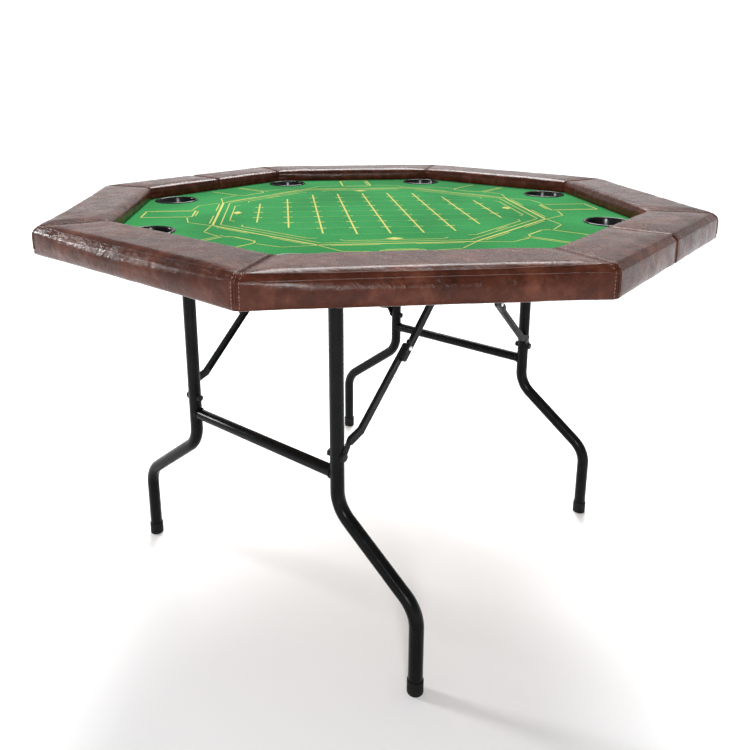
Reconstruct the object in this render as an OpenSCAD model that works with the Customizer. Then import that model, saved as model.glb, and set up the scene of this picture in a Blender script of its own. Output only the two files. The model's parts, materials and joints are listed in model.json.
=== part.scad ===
// Octagonal folding card table: padded rail, felt playing surface, drop-in cup
// holders and two folding leg frames, each held open by jointed braces.
// Frame: origin on the floor under the middle of the table, +Z up, +X along the
// line where the two halves of the rail meet, +Y across it. Sizes in millimetres.

/* [Table top] */
// Width across two opposite flat sides of the rail
across_flats = 1219.2; // [1000:0.1:1500]
// Height of the top of the rail above the floor
rail_top = 767.6; // [700:0.1:800]
// Width of the padded rail, seen from above
rail_width = 121; // [80:1:160]
// How far the rail stands above the felt
rail_rise = 29; // [15:1:60]
// Overall depth of the padded rail, top to bottom
rail_depth = 50.6; // [40:0.1:90]
// Radius on the rail's top edges
rail_round = 9; // [3:0.5:14]
// Thickness of the rail cover and its foam on top
pad_top = 9.6; // [5:0.1:16]
// Thickness of the rail cover and its foam on the inner wall
pad_inner = 9.4; // [5:0.1:16]
// Thickness of the rail cover where it wraps the deck edge
pad_outer = 3.6; // [2:0.1:8]
// Gap in each sewn seam between two sides of the rail cover
mitre_gap = 0.2; // [0.1:0.05:1]
// Gap where the two halves of the rail cover meet
rail_seam_gap = 0.6; // [0.3:0.1:2]
// Thickness of the deck panel
deck_thick = 18; // [12:0.5:25]
// Thickness of the felt's backing
underlay_thick = 1; // [0.5:0.1:3]
// Thickness of the felt cloth
felt_thick = 1; // [0.5:0.1:3]

/* [Cup holders] */
// Distance of each cup holder's centre in from the rail's inner corner
cup_inset = 62.3; // [50:0.1:110]
// Diameter of a cup holder's rim
cup_rim_d = 94.6; // [80:0.1:110]
// Diameter of a cup holder's body at the deck
cup_body_d = 84; // [60:0.5:90]
// Depth of a cup holder below the felt
cup_depth = 60; // [40:1:80]
// Wall of a cup holder
cup_wall = 1.6; // [1:0.1:3]
// Thickness of a cup holder's rim
cup_rim_thick = 2.5; // [1.5:0.1:5]

/* [Leg frames] */
// Distance of each leg frame's pivot in from the rail's inner side
pivot_inset = 144.6; // [110:0.1:190]
// Drop of the pivot tube's centre below the deck
pivot_drop = 15.5; // [13.2:0.1:25]
// Distance of the legs' upper parts from the middle
leg_top_x = 190; // [150:1:230]
// Distance of the feet from the middle
foot_x = 360; // [300:1:400]
// Height of the corner where a leg turns outward
bend_high = 286; // [240:0.5:330]
// Radius of the tube's centre line in each bend
bend_radius = 62; // [45:1:80]
// Outer diameter of the leg tube
tube_d = 25.4; // [19:0.1:32]
// Wall of the leg tube
tube_wall = 1.2; // [0.8:0.1:2.5]
// Diameter of the bar that joins the two legs of a frame
crossbar_d = 22; // [16:0.5:25]
// Height of that bar
crossbar_z = 349; // [320:1:450]
// Wall of a foot cap
cap_wall = 1.5; // [1:0.1:4]
// Height of a foot cap
cap_height = 26; // [15:1:40]
// Outer diameter of the pivot tube
pivot_d = 26; // [25.6:0.1:34]
// Length of the pivot tube
pivot_length = 450; // [420:1:520]

/* [Braces] */
// Height of the bolt that holds a brace to its leg
brace_bolt_z = 384; // [365:1:420]
// Distance of the knee rivet from the middle of the table
knee_y = 172; // [150:1:200]
// Height of the knee rivet
knee_z = 533; // [500:1:560]
// Distance of a brace's deck pin from the middle of the table
deck_pin_y = 8; // [7.8:0.1:20]
// Drop of a brace's deck pin below the deck
deck_pin_drop = 28.5; // [18:0.5:45]
// Width of a brace arm
arm_width = 15; // [12:0.5:18]
// Depth of a brace arm's channel
arm_depth = 7; // [5:0.1:10]
// Wall of a brace arm's channel
arm_wall = 1.6; // [1:0.1:2.5]
// Diameter of the bolts and pins of a brace
brace_pin_d = 7.6; // [5:0.1:9]
// Clearance around a pin that turns in its hole
turn_clear = 0.05; // [0.02:0.01:0.09]
// Gap between pieces that slide past each other
side_gap = 0.3; // [0.3:0.05:1]

/* [Hidden] */
$fn = 64;

eps = 0.01;
felt_top = rail_top - rail_rise;
felt_low = felt_top - felt_thick;
deck_top = felt_low - underlay_thick;
deck_low = deck_top - deck_thick;
rail_low = rail_top - rail_depth;
flat_out = across_flats / 2;
flat_in = flat_out - rail_width;
cup_circle = flat_in / cos(22.5) - cup_inset;
pivot_y = flat_in - pivot_inset;
deck_flat = flat_out - pad_outer;
core_out = deck_flat - 4;
core_in = flat_in + pad_inner;
core_top = rail_top - pad_top;
hem_in = deck_flat - 16;
core_mid = (core_out + core_in) / 2;
pivot_z = deck_low - pivot_drop;
tube_r = tube_d / 2;
cap_d = tube_d + 2 * cap_wall;
pivot_r = pivot_d / 2;
leg_run = foot_x - leg_top_x;
leg_drop = leg_run * 0.75;
bend_low = bend_high - leg_drop;
leg_turn = atan2(leg_run, leg_drop);
bend_set = bend_radius * tan(leg_turn / 2);
cap_base = 3;
pin_r = brace_pin_d / 2;
hole_r = pin_r + turn_clear;
arm_r = arm_width / 2;
arm_flat = arm_r - 0.25;
deck_pin_z = deck_low - deck_pin_drop;
lower_in = leg_top_x + tube_r + side_gap;
lower_out = lower_in + arm_depth;
upper_in = lower_out + side_gap + 0.1;
upper_out = upper_in + arm_depth + 0.6;
ear_in = upper_out + side_gap;
ear_thick = 2.5;
ear_half = deck_pin_y + 16;
strap_thick = 2;
saddle_x = leg_top_x - tube_r - 27.3;
saddle_wide = 25;
saddle_half = pivot_r + turn_clear + strap_thick;
saddle_flange = 34;
screw_r = 2;
cup_cut_r = cup_body_d / 2 + 0.3;
// The lower arm's line, leg bolt to knee, as [distance from the middle, height]
jog_1 = [pivot_y - 17, brace_bolt_z + 26];
jog_2 = [pivot_y - 44, brace_bolt_z + 34];
leg_pt = [pivot_y, brace_bolt_z];
knee_pt = [knee_y, knee_z];
pin_pt = [deck_pin_y, deck_pin_z];

// An eight-sided slab whose sides are `flat` from the middle
module slab(flat, low, high, flat_high = -1) {
  top = flat_high < 0 ? flat : flat_high;
  translate([0, 0, low]) rotate([0, 0, 22.5])
    cylinder(h = high - low, r1 = flat / cos(22.5), r2 = top / cos(22.5), $fn = 8);
}

// The half of space on one side of the rail seam
module half_space(side, gap) {
  translate([-flat_out - 20, side > 0 ? gap / 2 : -flat_out - 20 - gap / 2, rail_low - 20])
    cube([2 * flat_out + 40, flat_out + 20, rail_depth + 60]);
}

module at_cups() {
  for (k = [0 : 7]) rotate([0, 0, 22.5 + 45 * k]) translate([cup_circle, 0, 0]) children();
}

module cup_cuts(low, high) {
  at_cups() translate([0, 0, low - 1]) cylinder(h = high - low + 2, r = cup_cut_r);
}

module at_rail_screws() {
  for (k = [0 : 7], s = [-1, 1]) rotate([0, 0, 45 * k]) translate([core_mid, s * 110, 0]) children();
}

module rail_screw_holes(low, high) {
  at_rail_screws() translate([0, 0, low]) cylinder(h = high - low, r = screw_r + 0.1, $fn = 24);
}

module at_saddle_screws() {
  for (sx = [-1, 1], sy = [-1, 1], d = [-1, 1])
    translate([sx * saddle_x, sy * pivot_y + d * (saddle_flange - 8), 0]) children();
}

module at_bracket_screws() {
  for (sx = [-1, 1], d = [-1, 1]) translate([sx * (ear_in + 18), d * (ear_half - 8), 0]) children();
}

module deck_panel() color([0.62, 0.47, 0.32]) {
  difference() {
    slab(deck_flat, deck_low, deck_top);
    cup_cuts(deck_low, deck_top);
    rail_screw_holes(deck_low - 1, deck_top + 1);
    at_saddle_screws() translate([0, 0, deck_low - 1]) cylinder(h = 13, r = screw_r + 0.1, $fn = 24);
    at_bracket_screws() translate([0, 0, deck_low - 1]) cylinder(h = 13, r = screw_r + 0.1, $fn = 24);
  }
}

module felt_underlay() color([0.75, 0.74, 0.70]) {
  difference() {
    slab(deck_flat, deck_top, felt_low);
    cup_cuts(deck_top, felt_low);
    rail_screw_holes(deck_top - 1, felt_low + 1);
  }
}

module felt_cloth() color([0.07, 0.42, 0.18]) {
  difference() {
    slab(deck_flat, felt_low, felt_top);
    cup_cuts(felt_low, felt_top);
    rail_screw_holes(felt_low - 1, felt_top + 1);
  }
}

module rail_core(side) color([0.70, 0.55, 0.38]) {
  intersection() {
    difference() {
      slab(core_out, felt_top, core_top);
      slab(core_in, felt_top - 1, core_top + 1);
      rail_screw_holes(felt_top - 1, core_top - 6);
    }
    half_space(side, rail_seam_gap);
  }
}

// The rail's cover and foam: rounded along both top edges, open underneath, and
// turned under the deck's edge. The outline is [distance of the flat side, height]
module rail_pad(side) color([0.30, 0.11, 0.06]) {
  r = rail_round;
  arc = [for (i = [0 : 4]) [r * (1 - cos(22.5 * i)), r * (1 - sin(22.5 * i))]];
  outline = concat(
    [[hem_in, rail_low], [flat_out - 3, rail_low], [flat_out - 1, rail_low + 1], [flat_out, rail_low + 3]],
    [for (p = arc) [flat_out - p[0], rail_top - p[1]]],
    [for (i = [4 : -1 : 0]) [flat_in + arc[i][0], rail_top - arc[i][1]]],
    [[flat_in, felt_top], [core_in, felt_top], [core_in, core_top], [core_out, core_top], [core_out, felt_top],
     [deck_flat, felt_top], [deck_flat, deck_low], [hem_in, deck_low]]
  );
  tip = mitre_gap / 2 / sin(22.5);
  reach = across_flats;
  intersection() {
    rotate([0, 0, 22.5]) rotate_extrude($fn = 8) polygon([for (p = outline) [p[0] / cos(22.5), p[1]]]);
    for (k = [0 : 7]) rotate([0, 0, 45 * k]) translate([0, 0, rail_low - 1])
      linear_extrude(rail_depth + 2)
        polygon([[tip, 0], [reach, -(reach - tip) * tan(22.5)], [reach, (reach - tip) * tan(22.5)]]);
    half_space(side, rail_seam_gap);
  }
}

module cup_holder(k) color([0.03, 0.03, 0.03]) {
  low = felt_top - cup_depth;
  rb = cup_body_d / 2;
  rr = cup_rim_d / 2;
  t = cup_rim_thick;
  rotate([0, 0, 22.5 + 45 * (k - 1)]) translate([cup_circle, 0, 0])
    rotate_extrude($fn = 72) polygon([
      [0, low], [rb - 4, low], [rb - 2, low + 2], [rb, felt_top], [rr, felt_top],
      [rr, felt_top + t * 0.45], [rr - t * 0.5, felt_top + t], [rb + 0.6, felt_top + t],
      [rb - cup_wall, felt_top + t * 0.5], [rb - 2 - cup_wall, low + 2 + cup_wall],
      [rb - 4 - cup_wall, low + cup_wall], [0, low + cup_wall]
    ]);
}

// A ring-section bend of tube: starts at the origin heading down, turns toward +X
module tube_bend(ro, ri) {
  translate([bend_radius, 0, 0]) rotate([90, 0, 0]) rotate([0, 0, 180])
    rotate_extrude(angle = leg_turn, $fn = 64) translate([bend_radius, 0]) difference() {
      circle(r = ro, $fn = 64);
      circle(r = ri, $fn = 64);
    }
}

module tube_run(h, ro, ri) {
  difference() {
    cylinder(h = h, r = ro);
    translate([0, 0, -1]) cylinder(h = h + 2, r = ri);
  }
}

// sx: +1 or -1 for the leg's side; sy: -1 for frame a, +1 for frame b
module leg_tube(sx, sy) color([0.02, 0.02, 0.02]) {
  ro = tube_r;
  ri = tube_r - tube_wall;
  slope = sqrt(leg_run * leg_run + leg_drop * leg_drop) - 2 * bend_set;
  translate([0, sy * pivot_y, 0]) rotate([0, 0, sx > 0 ? 0 : 180]) {
    translate([leg_top_x, 0, bend_high + bend_set]) {
      difference() {
        tube_run(pivot_z - bend_high - bend_set, ro, ri);
        translate([-100, 0, pivot_z - bend_high - bend_set]) rotate([0, 90, 0]) cylinder(h = 200, r = pivot_r);
        translate([-30, 0, brace_bolt_z - bend_high - bend_set]) rotate([0, 90, 0]) cylinder(h = 60, r = pin_r, $fn = 32);
      }
      tube_bend(ro, ri);
    }
    translate([leg_top_x + bend_set * sin(leg_turn), 0, bend_high - bend_set * cos(leg_turn)])
      rotate([0, 180 - leg_turn, 0]) tube_run(slope, ro, ri);
    translate([foot_x, 0, bend_low - bend_set]) rotate([0, 180, 0]) {
      tube_run(bend_low - bend_set - cap_base, ro, ri);
      tube_bend(ro, ri);
    }
  }
}

module pivot_tube(sy) color([0.02, 0.02, 0.02]) {
  translate([-pivot_length / 2, sy * pivot_y, pivot_z]) rotate([0, 90, 0]) difference() {
    cylinder(h = pivot_length, r = pivot_r);
    translate([0, 0, -1]) cylinder(h = pivot_length + 2, r = pivot_r - tube_wall);
  }
}

module crossbar(sy) color([0.02, 0.02, 0.02]) {
  translate([0, sy * pivot_y, 0]) difference() {
    translate([-leg_top_x, 0, crossbar_z]) rotate([0, 90, 0]) cylinder(h = 2 * leg_top_x, r = crossbar_d / 2);
    translate([-leg_top_x - 1, 0, crossbar_z]) rotate([0, 90, 0])
      cylinder(h = 2 * leg_top_x + 2, r = crossbar_d / 2 - tube_wall);
    for (s = [-1, 1]) translate([s * leg_top_x, 0, crossbar_z - 40]) cylinder(h = 80, r = tube_r);
  }
}

module foot_cap(sx, sy) color([0.04, 0.04, 0.04]) {
  translate([sx * foot_x, sy * pivot_y, 0]) rotate_extrude() polygon([
    [0, 0], [cap_d / 2 - 1.5, 0], [cap_d / 2, 1.5], [cap_d / 2, cap_height - 1],
    [cap_d / 2 - 0.8, cap_height], [tube_r, cap_height], [tube_r, cap_base], [0, cap_base]
  ]);
}

// A strap that holds the pivot tube up against the deck and lets it turn
module saddle(sx, sy) color([0.03, 0.03, 0.03]) {
  rb = pivot_r + turn_clear;
  translate([sx * saddle_x - saddle_wide / 2, sy * pivot_y, 0]) difference() {
    union() {
      translate([0, 0, pivot_z]) rotate([0, 90, 0]) cylinder(h = saddle_wide, r = saddle_half);
      translate([0, -saddle_half, pivot_z]) cube([saddle_wide, 2 * saddle_half, deck_low - pivot_z]);
      translate([0, -saddle_flange, deck_low - strap_thick]) cube([saddle_wide, 2 * saddle_flange, strap_thick]);
    }
    translate([-1, 0, pivot_z]) rotate([0, 90, 0]) cylinder(h = saddle_wide + 2, r = rb);
    translate([-1, -rb, pivot_z]) cube([saddle_wide + 2, 2 * rb, deck_low - pivot_z + 1]);
    for (d = [-1, 1]) translate([saddle_wide / 2, d * (saddle_flange - 8), deck_low - strap_thick - 1])
      cylinder(h = strap_thick + 2, r = screw_r + 0.1, $fn = 24);
  }
}

// A flat bar from p to q in the plane across the table, `low` to `high` along +X,
// running past q by `past`
module bar(p, q, low, high, half, past = 0) {
  d = q - p;
  translate([low, p[0], p[1]]) rotate([atan2(d[1], d[0]), 0, 0])
    translate([0, 0, -half]) cube([high - low, norm(d) + past, 2 * half]);
}

module disc(p, low, high, r, fn = 40) {
  translate([low, p[0], p[1]]) rotate([0, 90, 0]) cylinder(h = high - low, r = r, $fn = fn);
}

// Shapes below are drawn for the +X, +Y brace; place() moves them to each leg
module place(sx, sy) {
  mirror([sx > 0 ? 0 : 1, 0, 0]) mirror([0, sy > 0 ? 0 : 1, 0]) children();
}

module lower_arm(sx, sy) color([0.03, 0.03, 0.03]) {
  u = (knee_pt - jog_2) / norm(knee_pt - jog_2);
  place(sx, sy) difference() {
    union() {
      disc(leg_pt, lower_in, lower_in + 2, arm_r + 1);
      bar(leg_pt, jog_1, lower_in, lower_in + 2, arm_flat);
      disc(jog_1, lower_in, lower_out, arm_r);
      bar(jog_1, jog_2, lower_in, lower_out, arm_flat);
      disc(jog_2, lower_in, lower_out, arm_r);
      bar(jog_2, knee_pt, lower_in, lower_out, arm_flat);
      disc(knee_pt, lower_in, lower_out, arm_r);
    }
    disc(leg_pt, lower_in - 1, lower_out + 1, hole_r);
    disc(knee_pt, lower_in - 1, lower_out + 1, hole_r);
    bar(jog_2 + u * 8, knee_pt - u * 14, lower_in - 1, lower_out - arm_wall, arm_r - arm_wall);
  }
}

module upper_arm(sx, sy) color([0.03, 0.03, 0.03]) {
  u = (knee_pt - pin_pt) / norm(knee_pt - pin_pt);
  side = [u[1], -u[0]];
  stop = knee_pt - u * 9 - side * (arm_r - 1);
  place(sx, sy) difference() {
    union() {
      hull() {
        disc(pin_pt, upper_in, upper_out, arm_r, 32);
        disc(knee_pt + u * 20, upper_in, upper_out, arm_r, 32);
      }
      disc(stop, upper_in, upper_out, 4.5);
    }
    disc(pin_pt, upper_in - 1, upper_out + 1, hole_r);
    disc(knee_pt, upper_in - 1, upper_out + 1, 3.5);
    bar(pin_pt + u * 12, knee_pt - u * 20, upper_in - 1, upper_out - arm_wall, arm_r - arm_wall);
  }
}

module knee_rivet(sx, sy) color([0.75, 0.75, 0.76]) {
  place(sx, sy) translate([upper_in, knee_pt[0], knee_pt[1]]) rotate([0, 90, 0]) {
    t = upper_out - upper_in;
    cylinder(h = t, r = 3.5, $fn = 40);
    translate([0, 0, t]) cylinder(h = 1.2, r = 4.8, $fn = 40);
    translate([0, 0, t + 1.2]) cylinder(h = 1, r1 = 4.8, r2 = 3, $fn = 40);
  }
}

module leg_bolt(sx, sy) color([0.05, 0.05, 0.05]) {
  head = lower_in + 2 + side_gap;
  place(sx, sy) {
    disc(leg_pt, leg_top_x - tube_r - 7, head, pin_r);
    disc(leg_pt, head, head + 3, 7);
    disc(leg_pt, leg_top_x - tube_r - 5.5, leg_top_x - tube_r, 7.2, 6);
  }
}

module brace_bracket(sx) color([0.03, 0.03, 0.03]) {
  mirror([sx > 0 ? 0 : 1, 0, 0]) difference() {
    union() {
      translate([ear_in, -ear_half, deck_pin_z - 10]) cube([ear_thick, 2 * ear_half, deck_low - deck_pin_z + 10]);
      translate([ear_in, -ear_half, deck_low - 2.2]) cube([28, 2 * ear_half, 2.2]);
    }
    for (s = [-1, 1]) disc([s * deck_pin_y, deck_pin_z], ear_in - 1, ear_in + ear_thick + 1, pin_r);
    for (d = [-1, 1]) translate([ear_in + 18, d * (ear_half - 8), deck_low - 4]) cylinder(h = 6, r = screw_r + 0.1, $fn = 24);
  }
}

module brace_pin(sx, sy) color([0.6, 0.6, 0.62]) {
  place(sx, sy) {
    disc(pin_pt, upper_in - side_gap - 1.5, upper_in - side_gap, 6);
    disc(pin_pt, upper_in - side_gap, ear_in + ear_thick, pin_r);
    disc(pin_pt, ear_in + ear_thick, ear_in + ear_thick + 2, 6);
  }
}

// A round-headed screw pointing up, its head's flat at height z
module screw(z, long, head_r = 4) {
  translate([0, 0, z]) cylinder(h = long, r = screw_r, $fn = 24);
  translate([0, 0, z - 2]) cylinder(h = 2, r1 = head_r - 1.4, r2 = head_r, $fn = 24);
}

module saddle_screws() color([0.6, 0.6, 0.62]) {
  at_saddle_screws() screw(deck_low - strap_thick, strap_thick + 11);
}

module bracket_screws() color([0.6, 0.6, 0.62]) {
  at_bracket_screws() screw(deck_low - 2.2, 2.2 + 11);
}

module rail_screws() color([0.6, 0.6, 0.62]) {
  at_rail_screws() screw(deck_low, core_top - 8 - deck_low, 4.5);
}

module cover_staples() color([0.7, 0.7, 0.72]) {
  for (k = [0 : 7], i = [-3 : 3]) rotate([0, 0, 45 * k])
    translate([hem_in + 5, i * 60 + 20 - 5, rail_low - 0.6]) cube([1, 10, 0.6]);
}

deck_panel();
felt_underlay();
felt_cloth();
rail_core(-1);  // rail_core_a
rail_core(1);  // rail_core_b
rail_pad(-1);  // rail_pad_a
rail_pad(1);  // rail_pad_b
cup_holder(1);  // cup_holder_1
cup_holder(2);  // cup_holder_2
cup_holder(3);  // cup_holder_3
cup_holder(4);  // cup_holder_4
cup_holder(5);  // cup_holder_5
cup_holder(6);  // cup_holder_6
cup_holder(7);  // cup_holder_7
cup_holder(8);  // cup_holder_8
leg_tube(1, -1);  // leg_tube_a1
leg_tube(-1, -1);  // leg_tube_a2
leg_tube(1, 1);  // leg_tube_b1
leg_tube(-1, 1);  // leg_tube_b2
pivot_tube(-1);  // pivot_tube_a
pivot_tube(1);  // pivot_tube_b
crossbar(-1);  // crossbar_a
crossbar(1);  // crossbar_b
foot_cap(1, -1);  // foot_cap_a1
foot_cap(-1, -1);  // foot_cap_a2
foot_cap(1, 1);  // foot_cap_b1
foot_cap(-1, 1);  // foot_cap_b2
saddle(1, -1);  // saddle_a1
saddle(-1, -1);  // saddle_a2
saddle(1, 1);  // saddle_b1
saddle(-1, 1);  // saddle_b2
lower_arm(1, -1);  // lower_arm_a1
lower_arm(-1, -1);  // lower_arm_a2
lower_arm(1, 1);  // lower_arm_b1
lower_arm(-1, 1);  // lower_arm_b2
upper_arm(1, -1);  // upper_arm_a1
upper_arm(-1, -1);  // upper_arm_a2
upper_arm(1, 1);  // upper_arm_b1
upper_arm(-1, 1);  // upper_arm_b2
knee_rivet(1, -1);  // knee_rivet_a1
knee_rivet(-1, -1);  // knee_rivet_a2
knee_rivet(1, 1);  // knee_rivet_b1
knee_rivet(-1, 1);  // knee_rivet_b2
leg_bolt(1, -1);  // leg_bolt_a1
leg_bolt(-1, -1);  // leg_bolt_a2
leg_bolt(1, 1);  // leg_bolt_b1
leg_bolt(-1, 1);  // leg_bolt_b2
brace_bracket(1);  // brace_bracket_1
brace_bracket(-1);  // brace_bracket_2
brace_pin(1, -1);  // brace_pin_a1
brace_pin(-1, -1);  // brace_pin_a2
brace_pin(1, 1);  // brace_pin_b1
brace_pin(-1, 1);  // brace_pin_b2
saddle_screws();
bracket_screws();
rail_screws();
cover_staples();
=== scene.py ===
"""Looks of an octagonal folding card table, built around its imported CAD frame."""

import json
import logging
import math
from dataclasses import dataclass, field
from enum import Enum
from typing import Callable, Iterable, Sequence

import bmesh
import bpy
from mathutils import Matrix, Vector
from mathutils.bvhtree import BVHTree

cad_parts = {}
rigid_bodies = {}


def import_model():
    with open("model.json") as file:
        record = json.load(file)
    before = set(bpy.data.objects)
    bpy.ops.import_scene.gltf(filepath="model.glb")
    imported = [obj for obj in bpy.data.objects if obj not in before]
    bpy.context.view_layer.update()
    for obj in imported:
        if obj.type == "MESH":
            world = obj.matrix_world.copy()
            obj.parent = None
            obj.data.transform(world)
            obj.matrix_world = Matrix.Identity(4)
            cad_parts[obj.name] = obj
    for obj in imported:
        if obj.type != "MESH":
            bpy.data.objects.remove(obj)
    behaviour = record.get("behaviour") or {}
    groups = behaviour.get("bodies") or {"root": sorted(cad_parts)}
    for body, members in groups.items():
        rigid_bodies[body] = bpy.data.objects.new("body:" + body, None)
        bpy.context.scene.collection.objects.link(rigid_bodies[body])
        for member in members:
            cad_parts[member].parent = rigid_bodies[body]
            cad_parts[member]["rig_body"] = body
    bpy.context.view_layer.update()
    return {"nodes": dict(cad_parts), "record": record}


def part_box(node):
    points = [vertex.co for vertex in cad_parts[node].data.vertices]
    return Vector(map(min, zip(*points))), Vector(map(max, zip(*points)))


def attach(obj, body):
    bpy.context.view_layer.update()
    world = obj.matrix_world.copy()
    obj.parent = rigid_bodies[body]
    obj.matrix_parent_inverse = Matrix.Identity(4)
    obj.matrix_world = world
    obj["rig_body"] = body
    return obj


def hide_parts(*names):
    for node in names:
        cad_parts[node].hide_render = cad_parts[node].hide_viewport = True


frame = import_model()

LOG = logging.getLogger("card_table")

Point = tuple[float, float, float]
Flat = tuple[float, float]

EIGHTH = 45.0  # degrees from one side of the table to the next
HALF_CORNER = math.radians(EIGHTH / 2)
CORNER_SIN = math.sin(HALF_CORNER)
CORNER_COS = math.cos(HALF_CORNER)
CORNER_TAN = math.tan(HALF_CORNER)
CORNER_REACH = 1 / CORNER_COS  # how much further out a corner is than a side
ON_PLANE = 1e-4  # how near a face or edge counts as lying on a plane
DOWN = (0, 0, -1)
INWARD = (-1, 0, 0)


class Half(Enum):
    """Which half of the padded rail a piece belongs to."""

    A = "a"
    B = "b"


class Lay(Enum):
    """How a printed line on the felt is drawn."""

    BOLD = 0.0044
    PLAIN = 0.0032
    FINE = 0.0021


# ---------------------------------------------------------------- node helpers


@dataclass(frozen=True)
class Graph:
    """A material's node tree with short ways to add and link nodes."""

    material: bpy.types.Material

    @property
    def tree(self) -> bpy.types.NodeTree:
        """The node tree."""
        return self.material.node_tree

    @property
    def shader(self) -> bpy.types.Node:
        """The tree's surface shader."""
        return next(n for n in self.tree.nodes if n.type == "BSDF_PRINCIPLED")

    def node(self, kind: str, **settings: object) -> bpy.types.Node:
        """Adds a node.

        Args:
            kind: The node's type name.
            settings: Attributes, or input sockets by name.

        Returns:
            The new node.
        """
        made = self.tree.nodes.new(kind)
        for name, value in settings.items():
            if name in made.inputs:
                made.inputs[name].default_value = value
            else:
                setattr(made, name, value)
        return made

    def link(self, source: bpy.types.NodeSocket, target: bpy.types.NodeSocket) -> None:
        """Joins two sockets."""
        self.tree.links.new(source, target)

    def place(self, scale: Point = (1.0, 1.0, 1.0)) -> bpy.types.NodeSocket:
        """Places a pattern on the piece.

        Args:
            scale: How much the pattern is squeezed along each axis.

        Returns:
            Object coordinates, scaled.
        """
        where = self.node("ShaderNodeTexCoord")
        fit = self.node("ShaderNodeMapping", Scale=scale)
        self.link(where.outputs["Object"], fit.inputs["Vector"])
        return fit.outputs["Vector"]

    def noise(
        self,
        where: bpy.types.NodeSocket,
        scale: float,
        detail: float = 3.0,
        rough: float = 0.5,
        twist: float = 0.0,
    ) -> bpy.types.NodeSocket:
        """Adds a noise pattern.

        Args:
            where: The coordinates that it reads.
            scale: Its fineness.
            detail: How many finer layers it has.
            rough: How strong the finer layers are.
            twist: How much it is warped.

        Returns:
            The noise, from 0 to 1.
        """
        made = self.node(
            "ShaderNodeTexNoise", Scale=scale, Detail=detail, Roughness=rough, Distortion=twist
        )
        self.link(where, made.inputs["Vector"])
        return made.outputs["Fac"]

    def ramp(
        self, value: bpy.types.NodeSocket, stops: Sequence[tuple[float, Sequence[float]]],
    ) -> bpy.types.NodeSocket:
        """Maps a value to colours.

        Args:
            value: The value to map.
            stops: Position and linear RGB of each stop, in order.

        Returns:
            The colour.
        """
        made = self.node("ShaderNodeValToRGB")
        band = made.color_ramp
        while len(band.elements) < len(stops):
            band.elements.new(0.5)
        for element, (at, rgb) in zip(band.elements, stops, strict=True):
            element.position = at
            element.color = (*rgb, 1.0)
        self.link(value, made.inputs["Fac"])
        return made.outputs["Color"]

    def span(
        self,
        value: bpy.types.NodeSocket,
        low: float,
        high: float,
        start: float = 0.0,
        end: float = 1.0,
    ) -> bpy.types.NodeSocket:
        """Maps one range of a value to another.

        Args:
            value: The value to map.
            low: What start becomes.
            high: What end becomes.
            start: The lowest value that counts.
            end: The highest value that counts.

        Returns:
            The mapped value.
        """
        made = self.node("ShaderNodeMapRange")
        made.inputs["From Min"].default_value = start
        made.inputs["From Max"].default_value = end
        made.inputs["To Min"].default_value = low
        made.inputs["To Max"].default_value = high
        self.link(value, made.inputs["Value"])
        return made.outputs["Result"]

    def math(
        self, way: str, first: bpy.types.NodeSocket, second: bpy.types.NodeSocket | float,
    ) -> bpy.types.NodeSocket:
        """Combines two values.

        Args:
            way: The Math node's operation.
            first: The first value.
            second: The second value, or a plain number.

        Returns:
            The result.
        """
        made = self.node("ShaderNodeMath", operation=way)
        self.link(first, made.inputs[0])
        if isinstance(second, float):
            made.inputs[1].default_value = second
        else:
            self.link(second, made.inputs[1])
        return made.outputs[0]

    def bumps(self, layers: Sequence[tuple[bpy.types.NodeSocket, float, float]]) -> None:
        """Stacks bump layers on the shader's normal.

        Args:
            layers: Height, strength and distance in metres of each layer.
        """
        last = None
        for height, strength, distance in layers:
            made = self.node("ShaderNodeBump", Strength=strength, Distance=distance)
            self.link(height, made.inputs["Height"])
            if last is not None:
                self.link(last, made.inputs["Normal"])
            last = made.outputs["Normal"]
        if last is not None:
            self.link(last, self.shader.inputs["Normal"])


def fresh(name: str, **sockets: object) -> Graph:
    """Makes a material.

    Args:
        name: The material's name.
        sockets: Values of the shader's own sockets, with _ for a space.

    Returns:
        The material's graph.
    """
    made = bpy.data.materials.new(name)
    made.use_nodes = True
    graph = Graph(made)
    for key, value in sockets.items():
        graph.shader.inputs[key.replace("_", " ")].default_value = value
    return graph


# ---------------------------------------------------------------- finishes


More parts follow.
